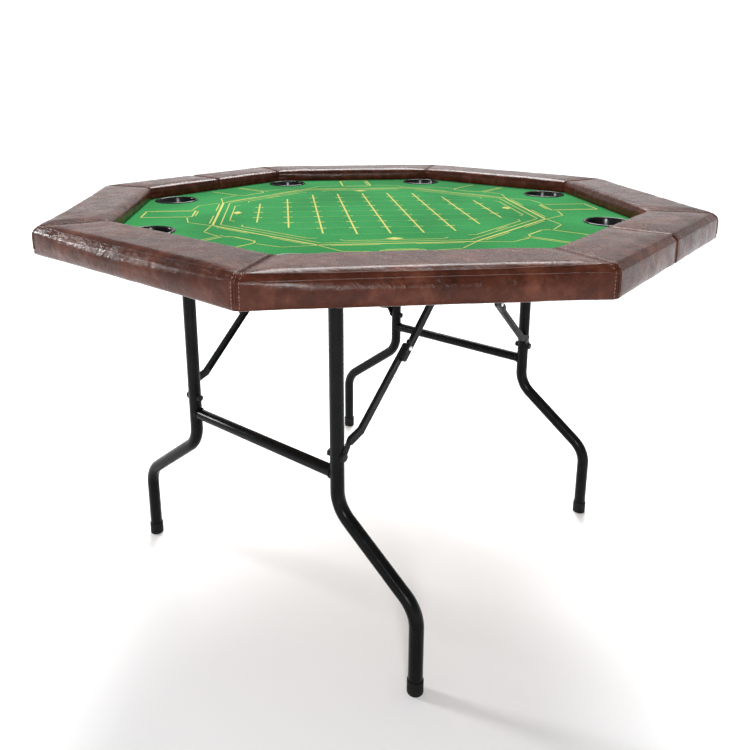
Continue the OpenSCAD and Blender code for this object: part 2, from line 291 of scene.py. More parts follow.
@dataclass(frozen=True)
class RailLeather:
    """Glossy brown bonded leather with fine grain and creases."""

    dark: Point = (0.017, 0.0040, 0.0018)
    mid: Point = (0.050, 0.0124, 0.0058)
    light: Point = (0.125, 0.0400, 0.0225)

    def build(self) -> bpy.types.Material:
        """Returns the material."""
        g = fresh("rail_leather", Specular_IOR_Level=0.12, Coat_Weight=0.05, Coat_Roughness=0.10)
        at = g.place()
        mottle = g.noise(at, 16.0, 6.0, 0.65, 0.5)
        fine = g.noise(at, 70.0, 4.0, 0.6)
        blotch = g.math("ADD", g.math("MULTIPLY", mottle, 0.7), g.math("MULTIPLY", fine, 0.3))
        colour = g.ramp(blotch, [(0.30, self.dark), (0.50, self.mid), (0.74, self.light)])
        g.link(colour, g.shader.inputs["Base Color"])
        crease_at = g.place((1.0, 2.2, 1.0))
        crease = g.noise(crease_at, 42.0, 6.0, 0.62, 1.9)
        folds = g.node("ShaderNodeTexVoronoi", feature="DISTANCE_TO_EDGE", Scale=34.0)
        warp = g.node("ShaderNodeVectorMath", operation="ADD")
        drift = g.node("ShaderNodeTexNoise", Scale=14.0, Detail=3.0)
        g.link(at, drift.inputs["Vector"])
        scale = g.node("ShaderNodeVectorMath", operation="SCALE", Scale=0.05)
        g.link(drift.outputs["Color"], scale.inputs[0])
        g.link(at, warp.inputs[0])
        g.link(scale.outputs[0], warp.inputs[1])
        g.link(warp.outputs[0], folds.inputs["Vector"])
        fold = g.span(folds.outputs["Distance"], 0.0, 1.0, 0.0, 0.12)
        grain = g.node("ShaderNodeTexVoronoi", Scale=620.0)
        g.link(at, grain.inputs["Vector"])
        g.bumps(
            [
                (crease, 0.55, 0.0014),
                (fold, 0.16, 0.0005),
                (grain.outputs["Distance"], 0.25, 0.00012),
            ]
        )
        gloss = g.span(g.noise(at, 38.0, 4.0, 0.6), 0.15, 0.34, 0.3, 0.7)
        g.link(gloss, g.shader.inputs["Roughness"])
        return g.material


@dataclass(frozen=True)
class StitchThread:
    """Waxed thread a little paler than the leather."""

    colour: Point = (0.23, 0.105, 0.075)

    def build(self) -> bpy.types.Material:
        """Returns the material."""
        g = fresh("stitch_thread", Roughness=0.55, Sheen_Weight=0.2)
        at = g.place()
        twist = g.noise(at, 900.0, 2.0)
        deep = tuple(c * 0.55 for c in self.colour)
        g.link(g.ramp(twist, [(0.35, deep), (0.65, self.colour)]), g.shader.inputs["Base Color"])
        g.bumps([(twist, 0.5, 0.0002)])
        return g.material


@dataclass(frozen=True)
class TableFelt:
    """Short-pile felt, slightly rumpled along the middle.

    Attributes:
        name: The material's name.
        base: The main colour.
        deep: The colour in the shaded pile.
    """

    name: str
    base: Point
    deep: Point

    def build(self) -> bpy.types.Material:
        """Returns the material."""
        g = fresh(self.name, Roughness=0.95, Sheen_Weight=0.03, Sheen_Roughness=0.5)
        g.shader.inputs["Specular IOR Level"].default_value = 0.04
        at = g.place()
        pile = g.noise(at, 1500.0, 2.0, 0.7)
        tuft = g.noise(at, 260.0, 4.0, 0.7)
        wash = g.noise(at, 5.0, 3.0, 0.5)
        blend = g.math(
            "ADD",
            g.math("MULTIPLY", pile, 0.35),
            g.math("ADD", g.math("MULTIPLY", tuft, 0.35), g.math("MULTIPLY", wash, 0.3)),
        )
        g.link(
            g.ramp(blend, [(0.43, self.deep), (0.555, self.base)]), g.shader.inputs["Base Color"]
        )
        where = g.node("ShaderNodeTexCoord")
        parts = g.node("ShaderNodeSeparateXYZ")
        g.link(where.outputs["Object"], parts.inputs[0])
        wander = g.span(g.noise(g.place(), 7.0, 3.0), -0.03, 0.03)
        away = g.math("ABSOLUTE", g.math("ADD", parts.outputs["Y"], wander), 0.0)
        ridge = g.span(away, 1.0, 0.0, 0.0, 0.012)
        rumple = g.noise(g.place((1.0, 2.6, 1.0)), 11.0, 4.0, 0.5, 1.2)
        g.bumps(
            [(rumple, 0.5, 0.0030), (ridge, 0.5, 0.0010), (tuft, 0.45, 0.0006), (pile, 0.5, 0.0003)]
        )
        return g.material


@dataclass(frozen=True)
class TubePaint:
    """Gloss or satin black paint on steel.

    Attributes:
        name: The material's name.
        shade: Grey of the paint.
        rough: The middle roughness.
    """

    name: str
    shade: float = 0.0035
    rough: float = 0.2

    def build(self) -> bpy.types.Material:
        """Returns the material."""
        g = fresh(self.name, Specular_IOR_Level=0.075)
        at = g.place()
        cloud = g.noise(at, 18.0, 4.0, 0.6)
        low = (self.shade * 0.7, self.shade * 0.75, self.shade * 0.8)
        high = (self.shade * 1.6, self.shade * 1.65, self.shade * 1.75)
        g.link(g.ramp(cloud, [(0.3, low), (0.7, high)]), g.shader.inputs["Base Color"])
        g.link(
            g.span(g.noise(at, 60.0, 4.0), self.rough * 0.75, self.rough * 1.5, 0.3, 0.7),
            g.shader.inputs["Roughness"],
        )
        g.bumps([(g.noise(at, 420.0, 2.0), 0.10, 0.0002)])
        return g.material


@dataclass(frozen=True)
class ZincSteel:
    """Bright plated steel on rivets, pins, screws and staples."""

    name: str
    tone: Point = (0.62, 0.62, 0.64)

    def build(self) -> bpy.types.Material:
        """Returns the material."""
        g = fresh(self.name, Metallic=1.0)
        at = g.place()
        cloud = g.noise(at, 160.0, 4.0, 0.6)
        dull = tuple(c * 0.62 for c in self.tone)
        g.link(g.ramp(cloud, [(0.3, dull), (0.7, self.tone)]), g.shader.inputs["Base Color"])
        g.link(g.span(cloud, 0.22, 0.45), g.shader.inputs["Roughness"])
        g.bumps([(g.noise(at, 900.0, 2.0), 0.12, 0.0001)])
        return g.material


@dataclass(frozen=True)
class CupPlastic:
    """Gloss black moulded plastic."""

    def build(self) -> bpy.types.Material:
        """Returns the material."""
        g = fresh("cup_plastic", Specular_IOR_Level=0.16)
        at = g.place()
        cloud = g.noise(at, 30.0, 3.0)
        g.link(
            g.ramp(cloud, [(0.3, (0.004, 0.004, 0.0045)), (0.7, (0.009, 0.009, 0.010))]),
            g.shader.inputs["Base Color"],
        )
        g.link(g.span(g.noise(at, 90.0, 4.0), 0.12, 0.30, 0.3, 0.7), g.shader.inputs["Roughness"])
        g.bumps([(g.noise(at, 520.0, 2.0), 0.08, 0.0002)])
        return g.material


@dataclass(frozen=True)
class CapRubber:
    """Satin black rubber of the foot caps."""

    def build(self) -> bpy.types.Material:
        """Returns the material."""
        g = fresh("foot_rubber", Specular_IOR_Level=0.1)
        at = g.place()
        scuff = g.noise(at, 55.0, 5.0, 0.65)
        g.link(
            g.ramp(scuff, [(0.35, (0.004, 0.004, 0.004)), (0.75, (0.012, 0.012, 0.012))]),
            g.shader.inputs["Base Color"],
        )
        g.link(g.span(scuff, 0.45, 0.75), g.shader.inputs["Roughness"])
        g.bumps([(g.noise(at, 700.0, 3.0), 0.3, 0.0003)])
        return g.material


@dataclass(frozen=True)
class PressedBoard:
    """Fibreboard or raw timber under the table.

    Attributes:
        name: The material's name.
        pale: The lighter colour.
        deep: The darker colour.
    """

    name: str
    pale: Point
    deep: Point

    def build(self) -> bpy.types.Material:
        """Returns the material."""
        g = fresh(self.name, Roughness=0.7)
        long = g.place((1.0, 14.0, 14.0))
        fleck = g.noise(g.place(), 240.0, 4.0, 0.7)
        grain = g.noise(long, 4.0, 6.0, 0.6, 0.4)
        both = g.math("ADD", g.math("MULTIPLY", grain, 0.6), g.math("MULTIPLY", fleck, 0.4))
        g.link(g.ramp(both, [(0.32, self.deep), (0.66, self.pale)]), g.shader.inputs["Base Color"])
        g.link(g.span(fleck, 0.62, 0.85), g.shader.inputs["Roughness"])
        g.bumps([(both, 0.3, 0.0006)])
        return g.material


@dataclass
class Finishes:
    """Every finish of the table, made once."""

    made: dict[str, bpy.types.Material] = field(default_factory=dict)

    def build(self) -> None:
        """Makes the materials by the record's slot names, and the extra ones."""
        self.made = {
            "rail_leather": RailLeather().build(),
            "thread": StitchThread().build(),
            "felt": TableFelt("table_felt", (0.021, 0.213, 0.052), (0.007, 0.118, 0.024)).build(),
            "print": TableFelt("felt_print", (0.46, 0.44, 0.12), (0.32, 0.33, 0.085)).build(),
            "print_faint": TableFelt(
                "felt_print_faint", (0.11, 0.29, 0.075), (0.06, 0.23, 0.055)
            ).build(),
            "underlay": TableFelt("felt_backing", (0.55, 0.54, 0.50), (0.40, 0.39, 0.36)).build(),
            "leg_paint": TubePaint("leg_paint").build(),
            "brace_paint": TubePaint("brace_paint", 0.007, 0.34).build(),
            "bolt_paint": TubePaint("bolt_paint", 0.012, 0.36).build(),
            "rivet_steel": ZincSteel("rivet_steel", (0.74, 0.74, 0.76)).build(),
            "screw_steel": ZincSteel("screw_steel").build(),
            "staple_steel": ZincSteel("staple_steel", (0.52, 0.52, 0.54)).build(),
            "cup_plastic": CupPlastic().build(),
            "foot_rubber": CapRubber().build(),
            "deck_board": PressedBoard(
                "deck_board", (0.36, 0.24, 0.135), (0.22, 0.135, 0.07)
            ).build(),
            "core_wood": PressedBoard("core_wood", (0.50, 0.35, 0.20), (0.34, 0.22, 0.12)).build(),
        }

    def dress(self, piece: bpy.types.Object, name: str) -> None:
        """Gives a piece one finish."""
        piece.data.materials.clear()
        piece.data.materials.append(self.made[name])


# ---------------------------------------------------------------- modelling helpers


def clear() -> None:
    """Deselects everything."""
    if bpy.context.object is not None and bpy.context.object.mode != "OBJECT":
        bpy.ops.object.mode_set(mode="OBJECT")
    bpy.ops.object.select_all(action="DESELECT")


def activate(piece: bpy.types.Object) -> None:
    """Selects one piece alone and makes it active."""
    clear()
    piece.select_set(True)
    bpy.context.view_layer.objects.active = piece


def settle(piece: bpy.types.Object) -> None:
    """Moves a piece's place into its mesh."""
    activate(piece)
    bpy.ops.object.transform_apply(location=True, rotation=True, scale=True)


def block(name: str, low: Point, high: Point) -> bpy.types.Object:
    """Adds a block between two corners.

    Args:
        name: The piece's name.
        low: Its lowest corner.
        high: Its highest corner.

    Returns:
        The block.
    """
    clear()
    middle = [(a + b) / 2 for a, b in zip(low, high, strict=True)]
    bpy.ops.mesh.primitive_cube_add(size=1.0, location=middle)
    made = bpy.context.object
    made.name = name
    made.scale = [b - a for a, b in zip(low, high, strict=True)]
    settle(made)
    return made


def join(pieces: Sequence[bpy.types.Object], name: str) -> bpy.types.Object:
    """Joins pieces into the first one.

    Args:
        pieces: The pieces to join.
        name: The joined piece's name.

    Returns:
        The joined piece.
    """
    clear()
    for piece in pieces:
        piece.select_set(True)
    bpy.context.view_layer.objects.active = pieces[0]
    if len(pieces) > 1:
        bpy.ops.object.join()
    made = bpy.context.object
    made.name = name
    made.data.name = name
    return made


def twin(piece: bpy.types.Object, name: str, move: Matrix) -> bpy.types.Object:
    """Copies a piece with its own mesh and moves the copy's mesh.

    Args:
        piece: The piece to copy.
        name: The copy's name.
        move: Where the copy's mesh goes, mirrored or not.

    Returns:
        The copy.
    """
    made = piece.copy()
    made.data = piece.data.copy()
    made.name = name
    made.data.name = name
    bpy.context.scene.collection.objects.link(made)
    made.data.transform(move)
    if move.determinant() < 0:
        made.data.flip_normals()
    return made


def apply_modifier(piece: bpy.types.Object, kind: str, **settings: object) -> None:
    """Adds a modifier and applies it.

    Args:
        piece: The piece to change.
        kind: The modifier's type.
        settings: Its settings by name.
    """
    activate(piece)
    made = piece.modifiers.new(kind.lower(), kind)
    for key, value in settings.items():
        setattr(made, key, value)
    bpy.ops.object.modifier_apply(modifier=made.name)


def smooth(piece: bpy.types.Object, degrees: float = 35.0) -> None:
    """Shades a piece smooth below an angle."""
    activate(piece)
    bpy.ops.object.shade_smooth_by_angle(angle=math.radians(degrees))


def pick(piece: bpy.types.Object, mode: str, test: Callable[[Vector], bool]) -> None:
    """Enters edit mode with the edges or faces selected whose middle passes a test.

    Args:
        piece: The piece to edit.
        mode: EDGE or FACE.
        test: Says whether an element with that middle is selected.
    """
    activate(piece)
    bpy.ops.object.mode_set(mode="EDIT")
    bpy.ops.mesh.select_mode(type=mode)
    bpy.ops.mesh.select_all(action="DESELECT")
    shape = bmesh.from_edit_mesh(piece.data)
    for item in shape.edges if mode == "EDGE" else shape.faces:
        points = [v.co for v in item.verts]
        if test(sum(points, Vector()) / len(points)):
            item.select_set(True)
    bmesh.update_edit_mesh(piece.data)


def leave() -> None:
    """Leaves edit mode."""
    bpy.ops.object.mode_set(mode="OBJECT")


def cut(piece: bpy.types.Object, at: Point, normal: Point) -> None:
    """Cuts away what lies beyond a plane and closes the cut.

    Args:
        piece: The piece to cut.
        at: A point on the plane.
        normal: The direction of what is cut away.
    """
    activate(piece)
    bpy.ops.object.mode_set(mode="EDIT")
    bpy.ops.mesh.select_all(action="SELECT")
    bpy.ops.mesh.bisect(plane_co=at, plane_no=normal, clear_outer=True, use_fill=True)
    leave()


def turned(k: float) -> Matrix:
    """Returns a turn of k eighths about the table's middle."""
    return Matrix.Rotation(math.radians(EIGHTH * k), 4, "Z")


def sweep(name: str, spots: Sequence[Vector], radius: float, facets: int) -> bpy.types.Object:
    """Sweeps a round bar through points.

    Args:
        name: The piece's name.
        spots: The points of its centre line.
        radius: Its radius.
        facets: How finely each quarter of its section is divided.

    Returns:
        The closed bar, as a mesh.
    """
    curve = bpy.data.curves.new(name, "CURVE")
    curve.dimensions = "3D"
    line = curve.splines.new("POLY")
    line.points.add(len(spots) - 1)
    for point, spot in zip(line.points, spots, strict=True):
        point.co = (*spot, 1)
    curve.bevel_depth = radius
    curve.bevel_resolution = facets
    curve.use_fill_caps = True
    made = bpy.data.objects.new(name, curve)
    bpy.context.scene.collection.objects.link(made)
    activate(made)
    bpy.ops.object.convert(target="MESH")
    return bpy.context.object


def finish_piece(
    piece: bpy.types.Object, body: str, replaces: Sequence[str] = (),
) -> bpy.types.Object:
    """Ties a finished piece to the frame.

    Args:
        piece: The finished piece.
        body: The body that it rides on.
        replaces: The CAD nodes that it stands for.

    Returns:
        The same piece.
    """
    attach(piece, body)
    if replaces:
        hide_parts(*replaces)
    LOG.info("%s: %d faces, rides on %s", piece.name, len(piece.data.polygons), body)
    return piece


BODY_OF: dict[str, str] = {n: o["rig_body"] for n, o in frame["nodes"].items()}
SLOT_OF: dict[str, str] = {s["node"]: s["material_slot"] for s in frame["record"]["subparts"]}


# ---------------------------------------------------------------- padded rail


@dataclass
class PaddedRail:
    """The rail: ten padded lengths of leather with sewn seams between them.

    Attributes:
        outer: Distance of the outer side from the middle.
        inner: Distance of the inner side from the middle.
        low: Height of the hem.
        top: Height of the rail's top.
        felt: Height of the felt.
        voxel: Size of the mesh before it is stuffed.
        swell: The most that stuffing moves a point.
        seam_lap: How far a length runs past its mitre.
        length_half: Half the length of a blank before it is cut.
        hem_wide: Width of the hem.
        outer_ease: Width of the flat on the outer top edge.
        inner_ease: Radius of the inner top edge.
        pressure: Pressure of the stuffing.
        stiffness: Stiffness of the leather against stretch.
        bend: Stiffness of the leather against bending.
        steps: Steps of the stuffing.
        stitch_pitch: Distance from one stitch to the next.
        row_gap: Distance of a row of stitches from a corner seam.
        middle_gap: Distance of a row of stitches from a middle seam.
        pieces: The finished halves.
    """

    outer: float = 0.6096
    inner: float = 0.4886
    low: float = 0.0
    top: float = 0.0
    felt: float = 0.0
    voxel: float = 0.004
    swell: float = 0.0028
    seam_lap: float = 0.0024
    length_half: float = 0.30
    hem_wide: float = 0.020
    outer_ease: float = 0.0095
    inner_ease: float = 0.009
    pressure: float = 4.0
    stiffness: float = 22.0
    bend: float = 3.0
    steps: int = 20
    stitch_pitch: float = 0.0052
    row_gap: float = 0.0055
    middle_gap: float = 0.0065
    pieces: dict[str, bpy.types.Object] = field(default_factory=dict)

    def __post_init__(self) -> None:
        """Reads the rail's heights from the frame."""
        box_low, box_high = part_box("rail_pad_a")
        self.low, self.top = box_low.z, box_high.z
        self.outer = box_high.x
        self.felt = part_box("felt_cloth")[1].z

    def blank(self, half_side: bool) -> bpy.types.Object:
        """Models one length of the rail on the +X side before it is stuffed.

        Args:
            half_side: Whether it ends square at the middle of the side.

        Returns:
            The closed blank.
        """
        s = self.swell * 0.6
        out, inn = self.outer - 0.0004, self.inner + s
        half = self.length_half
        crown = block("blank", (inn, -half, self.felt), (out, half, self.top - s))
        hem = block("hem", (out - self.hem_wide, -half, self.low), (out, half, self.felt + 0.006))
        apply_modifier(crown, "BOOLEAN", object=hem, operation="UNION", solver="EXACT")
        bpy.data.objects.remove(hem)
        top = self.top - s
        for edge, width, segments in ((out, self.outer_ease, 1), (inn, self.inner_ease, 4)):
            pick(
                crown,
                "EDGE",
                lambda p, x=edge: abs(p.x - x) < ON_PLANE and abs(p.z - top) < ON_PLANE,
            )
            bpy.ops.mesh.bevel(offset=width, segments=segments)
            leave()
        lap = self.seam_lap / CORNER_COS
        cut(crown, (0, lap, 0), (-CORNER_SIN, CORNER_COS, 0))
        if half_side:
            cut(crown, (0, 0.0002, 0), (0, -1, 0))
        else:
            cut(crown, (0, -lap, 0), (-CORNER_SIN, -CORNER_COS, 0))
        apply_modifier(crown, "REMESH", mode="VOXEL", voxel_size=self.voxel, use_smooth_shade=True)
        return crown

    def stuff(self, piece: bpy.types.Object) -> None:
        """Swells a length with cloth under pressure, held at its seams and hem.

        Args:
            piece: The blank to stuff.
        """
        rest = [v.co.copy() for v in piece.data.vertices]
        self.hold(piece)
        activate(piece)
        cloth = piece.modifiers.new("stuffing", "CLOTH")
        cloth.settings.use_pressure = True
        cloth.settings.uniform_pressure_force = self.pressure
        cloth.settings.vertex_group_mass = "held"
        cloth.settings.effector_weights.gravity = 0.0
        cloth.settings.tension_stiffness = self.stiffness
        cloth.settings.compression_stiffness = self.stiffness
        cloth.settings.bending_stiffness = self.bend
        cloth.settings.quality = 6
        cloth.point_cache.frame_start = 1
        cloth.point_cache.frame_end = self.steps
        for step in range(1, self.steps + 1):
            bpy.context.scene.frame_set(step)
        bpy.ops.object.modifier_apply(modifier=cloth.name)
        bpy.context.scene.frame_set(1)
        piece.vertex_groups.clear()
        for v, start in zip(piece.data.vertices, rest, strict=True):
            move = v.co - start
            if move.length > self.swell:
                v.co = start + move.normalized() * self.swell
        piece.data.update()
        apply_modifier(piece, "SMOOTH", factor=0.5, iterations=1)
        self.gather(piece)

    def ends_square(self, piece: bpy.types.Object) -> bool:
        """Returns whether a length ends square at the middle of the side."""
        return min(v.co.y for v in piece.data.vertices) > -0.01

    def hold(self, piece: bpy.types.Object) -> None:
        """Marks the points of a blank that its seams, hem and lip hold.

        Args:
            piece: The blank.
        """
        held = piece.vertex_groups.new(name="held")
        square = self.ends_square(piece)
        for v in piece.data.vertices:
            mitre = abs(v.co.x * CORNER_TAN - abs(v.co.y))
            seam = min(mitre, abs(v.co.y - 0.0004) if square else 1.0)
            at_hem = v.co.z < self.low + 0.006 and v.co.x < self.outer - 0.010
            at_lip = v.co.x < self.inner + 0.03 and v.co.z < self.felt + 0.004
            if seam < 0.004 or at_hem or at_lip:
                held.add([v.index], 1.0, "REPLACE")

    def gather(self, piece: bpy.types.Object) -> None:
        """Pulls small puckers into a length beside its seams.

        Args:
            piece: The stuffed length.
        """
        square = self.ends_square(piece)
        moves = []
        for v in piece.data.vertices:
            away = abs(v.co.x * CORNER_TAN - abs(v.co.y)) * CORNER_COS
            if square:
                away = min(away, abs(v.co.y))
            inside = max(0.0, 1 - (v.co.x - self.inner) / 0.030)
            wave = math.sin(v.co.x * 760 + v.co.z * 540) * (0.5 + inside)
            draw = -0.0006 * math.exp(-away / 0.007) * (1 + 0.4 * wave)
            pucker = 0.0009 * wave * inside * math.exp(-away / 0.022)
            moves.append(v.normal * (draw + pucker))
        for v, move in zip(piece.data.vertices, moves, strict=True):
            if v.co.z > self.low + 0.008:
                v.co += move
        piece.data.update()

    def rumple(self, piece: bpy.types.Object) -> None:
        """Presses soft creases into a length, different on each.

        Args:
            piece: The length, in its place.
        """
        made = bpy.data.textures.get("rail_creases") or bpy.data.textures.new(
            "rail_creases", "CLOUDS"
        )
        made.noise_scale = 0.055
        made.noise_depth = 3
        apply_modifier(
            piece, "DISPLACE", texture=made, texture_coords="LOCAL", strength=0.0016, mid_level=0.62
        )

    def build(self, finishes: Finishes) -> None:
        """Makes both halves of the rail and their seams.

        Args:
            finishes: The table's finishes.
        """
        whole = self.blank(False)
        self.stuff(whole)
        part = self.blank(True)
        self.stuff(part)
        flip = Matrix.Scale(-1, 4, (0, 1, 0))
        plan = {
            Half.B: [
                (part, turned(0)),
                (whole, turned(1)),
                (whole, turned(2)),
                (whole, turned(3)),
                (part, turned(4) @ flip),
            ],
            Half.A: [
                (part, flip),
                (whole, turned(-1)),
                (whole, turned(-2)),
                (whole, turned(-3)),
                (part, turned(4)),
            ],
        }
        for half, lengths in plan.items():
            made = []
            for i, (source, move) in enumerate(lengths):
                copy = twin(source, f"length_{i}", move)
                self.rumple(copy)
                made.append(copy)
            rail = join(made, f"rail_cushion_{half.value}")
            activate(rail)
            bpy.ops.object.shade_smooth()
            finishes.dress(rail, "rail_leather")
            finish_piece(
                rail, BODY_OF["rail_pad_" + half.value], ["rail_pad_" + half.value]
            )
            self.pieces[half.value] = rail
        bpy.data.objects.remove(whole)
        bpy.data.objects.remove(part)
        self.sew(finishes)

    def stitch(self) -> bpy.types.Object:
        """Models one stitch lying along +X at the origin.

        Returns:
            The stitch, as a short bar with eased ends.
        """
        clear()
        bpy.ops.mesh.primitive_cylinder_add(
            vertices=6, radius=0.00055, depth=0.0034, rotation=(0, math.pi / 2, 0)
        )
        made = bpy.context.object
        settle(made)
        activate(made)
        bpy.ops.object.mode_set(mode="EDIT")
        bpy.ops.mesh.select_all(action="SELECT")
        bpy.ops.mesh.bevel(offset=0.0002, segments=1)
        leave()
        return made

    def sew(self, finishes: Finishes) -> None:
        """Sews every seam, over the top and down the outer side.

        Args:
            finishes: The table's finishes.
        """
        source = self.stitch()
        for half, rail in self.pieces.items():
            tree = BVHTree.FromObject(rail, bpy.context.evaluated_depsgraph_get())
            side = 1 if half == Half.B.value else -1
            corners = [turned(side * (k + 0.5)) for k in range(4)]
            rows: list[bpy.types.Object] = []
            for turn in corners:
                rows += self.seam_rows(
                    tree, source, turn, CORNER_REACH, (-self.row_gap, self.row_gap)
                )
            welts: list[bpy.types.Object] = []
            for turn in corners:
                for offset, size in ((0.0, 0.0013), (-0.0033, 0.0009), (0.0033, 0.0009)):
                    welts += self.welt(tree, turn, offset, size)
            for k in range(8):
                for high in (True, False):
                    welts += self.ridge(tree, turned(k), high)
            self.tie(welts, f"rail_welts_{half}", "rail_leather", finishes)
            for k, way in ((0, side), (4, -side)):
                rows += self.seam_rows(tree, source, turned(k), 1.0, (self.middle_gap * way,))
            self.tie(rows, f"rail_stitches_{half}", "thread", finishes)
        bpy.data.objects.remove(source)

    def tie(
        self, parts: Sequence[bpy.types.Object], name: str, look: str, finishes: Finishes,
    ) -> None:
        """Joins sewn parts into one piece on the rail.

        Args:
            parts: The parts to join.
            name: The piece's name.
            look: The name of its finish.
            finishes: The table's finishes.
        """
        made = join(parts, name)
        finishes.dress(made, look)
        activate(made)
        bpy.ops.object.shade_smooth()
        finish_piece(made, "table_top")

    def seam_path(self, reach: float, pitch: float) -> list[tuple[Vector, Vector]]:
        """Plans rays that meet the rail along a seam on +X, over the top and down the side.

        Args:
            reach: How much further out the seam runs than a flat side.
            pitch: Distance from one ray to the next.

        Returns:
            Start and direction of each ray.
        """
        path = []
        for i in range(int((self.outer - self.inner) * reach / pitch) - 1):
            path.append(
                (
                    Vector(((self.inner + 0.006) * reach + i * pitch, 0, self.top + 0.03)),
                    Vector(DOWN),
                )
            )
        for i in range(5):
            tilt = math.radians(75 - i * 15)
            way = Vector((-math.cos(tilt), 0, -math.sin(tilt)))
            path.append(
                (Vector((self.outer * reach - 0.010, 0, self.top - 0.010)) - way * 0.05, way)
            )
        for i in range(int((self.top - self.low - 0.016) / pitch)):
            path.append(
                (
                    Vector((self.outer * reach + 0.05, 0, self.top - 0.013 - i * pitch)),
                    Vector(INWARD),
                )
            )
        return path

    def welt(
        self, tree: BVHTree, turn: Matrix, offset: float, size: float,
    ) -> list[bpy.types.Object]:
        """Lays a raised welt along one corner seam.

        Args:
            tree: The rail's surface.
            turn: Turns +X to the seam's direction.
            offset: The welt's distance from the seam.
            size: Its radius.

        Returns:
            The welt, or nothing if the rail wasn't met.
        """
        spin = turn.to_3x3()
        spots: list[Vector] = []
        for start, way in self.seam_path(CORNER_REACH, 0.004):
            probe = 0.0024 if abs(offset) < 0.001 else offset
            hit, normal, _, _ = tree.ray_cast(
                spin @ (start + Vector((0, probe, 0))), spin @ way, 0.12
            )
            if hit is None:
                continue
            flat = spin.inverted() @ hit
            flat.y = offset
            spots.append(spin @ flat + normal * size * 0.45)
        return self.cordlike(spots, size)

    def ridge(self, tree: BVHTree, turn: Matrix, high: bool) -> list[bpy.types.Object]:
        """Lays one of the two ridges that edge the outer top corner of a side.

        Args:
            tree: The surface of one half of the rail.
            turn: Turns +X to the side's direction.
            high: Whether it is the upper ridge.

        Returns:
            The ridge, or nothing where this half has no such side.
        """
        spin = turn.to_3x3()
        spots: list[Vector] = []
        steps = 60
        span = self.outer * CORNER_TAN - 0.0045
        for i in range(steps + 1):
            y = -span + 2 * span * i / steps
            if high:
                start, way = Vector((self.outer - 0.0112, y, self.top + 0.03)), Vector(DOWN)
            else:
                start, way = Vector((self.outer + 0.05, y, self.top - 0.0116)), Vector(INWARD)
            hit, normal, _, _ = tree.ray_cast(spin @ start, spin @ way, 0.07)
            if hit is not None:
                spots.append(hit + normal * 0.00005)
        return self.cordlike(spots, 0.0010)

    def cordlike(self, spots: Sequence[Vector], size: float) -> list[bpy.types.Object]:
        """Lays a smooth round ridge through points.

        Args:
            spots: The points of its centre line.
            size: Its radius.

        Returns:
            The ridge, or nothing for fewer than four points.
        """
        if len(spots) < 4:
            return []
        made = sweep("welt", spots, size, 2)
        apply_modifier(made, "SMOOTH", factor=0.5, iterations=3)
        return [made]

    def seam_rows(
        self,
        tree: BVHTree,
        source: bpy.types.Object,
        turn: Matrix,
        reach: float,
        offsets: Iterable[float],
    ) -> list[bpy.types.Object]:
        """Lays rows of stitches along one seam.

        Args:
            tree: The rail's surface.
            source: The stitch to copy.
            turn: Turns +X to the seam's direction.
            reach: How much further out the seam runs than a flat side.
            offsets: Each row's distance from the seam.

        Returns:
            The stitches.
        """
        made = []
        spin = turn.to_3x3()
        for offset in offsets:
            path: list[tuple[Vector, Vector]] = []
            for i in range(int((self.outer - self.inner) * reach / self.stitch_pitch)):
                u = (self.inner + 0.008) * reach + i * self.stitch_pitch
                path.append((Vector((u, offset, self.top + 0.03)), Vector(DOWN)))
            for i in range(7):
                z = self.top - 0.012 - i * 0.0054
                path.append((Vector((self.outer * reach + 0.05, offset, z)), Vector(INWARD)))
            for start, way in path:
                hit, normal, _, _ = tree.ray_cast(spin @ start, spin @ way, 0.12)
                if hit is None:
                    continue
                along = spin @ (Vector((1, 0, 0)) if way.z < -0.5 else Vector((0, 0, 1)))
                along = (along - normal * along.dot(normal)).normalized()
                across = normal.cross(along)
                basis = Matrix((along, across, normal)).transposed().to_4x4()
                lift = Matrix.Translation(hit + normal * 0.00015)
                made.append(twin(source, "stitch", lift @ basis))
        return made


# ---------------------------------------------------------------- felt and print


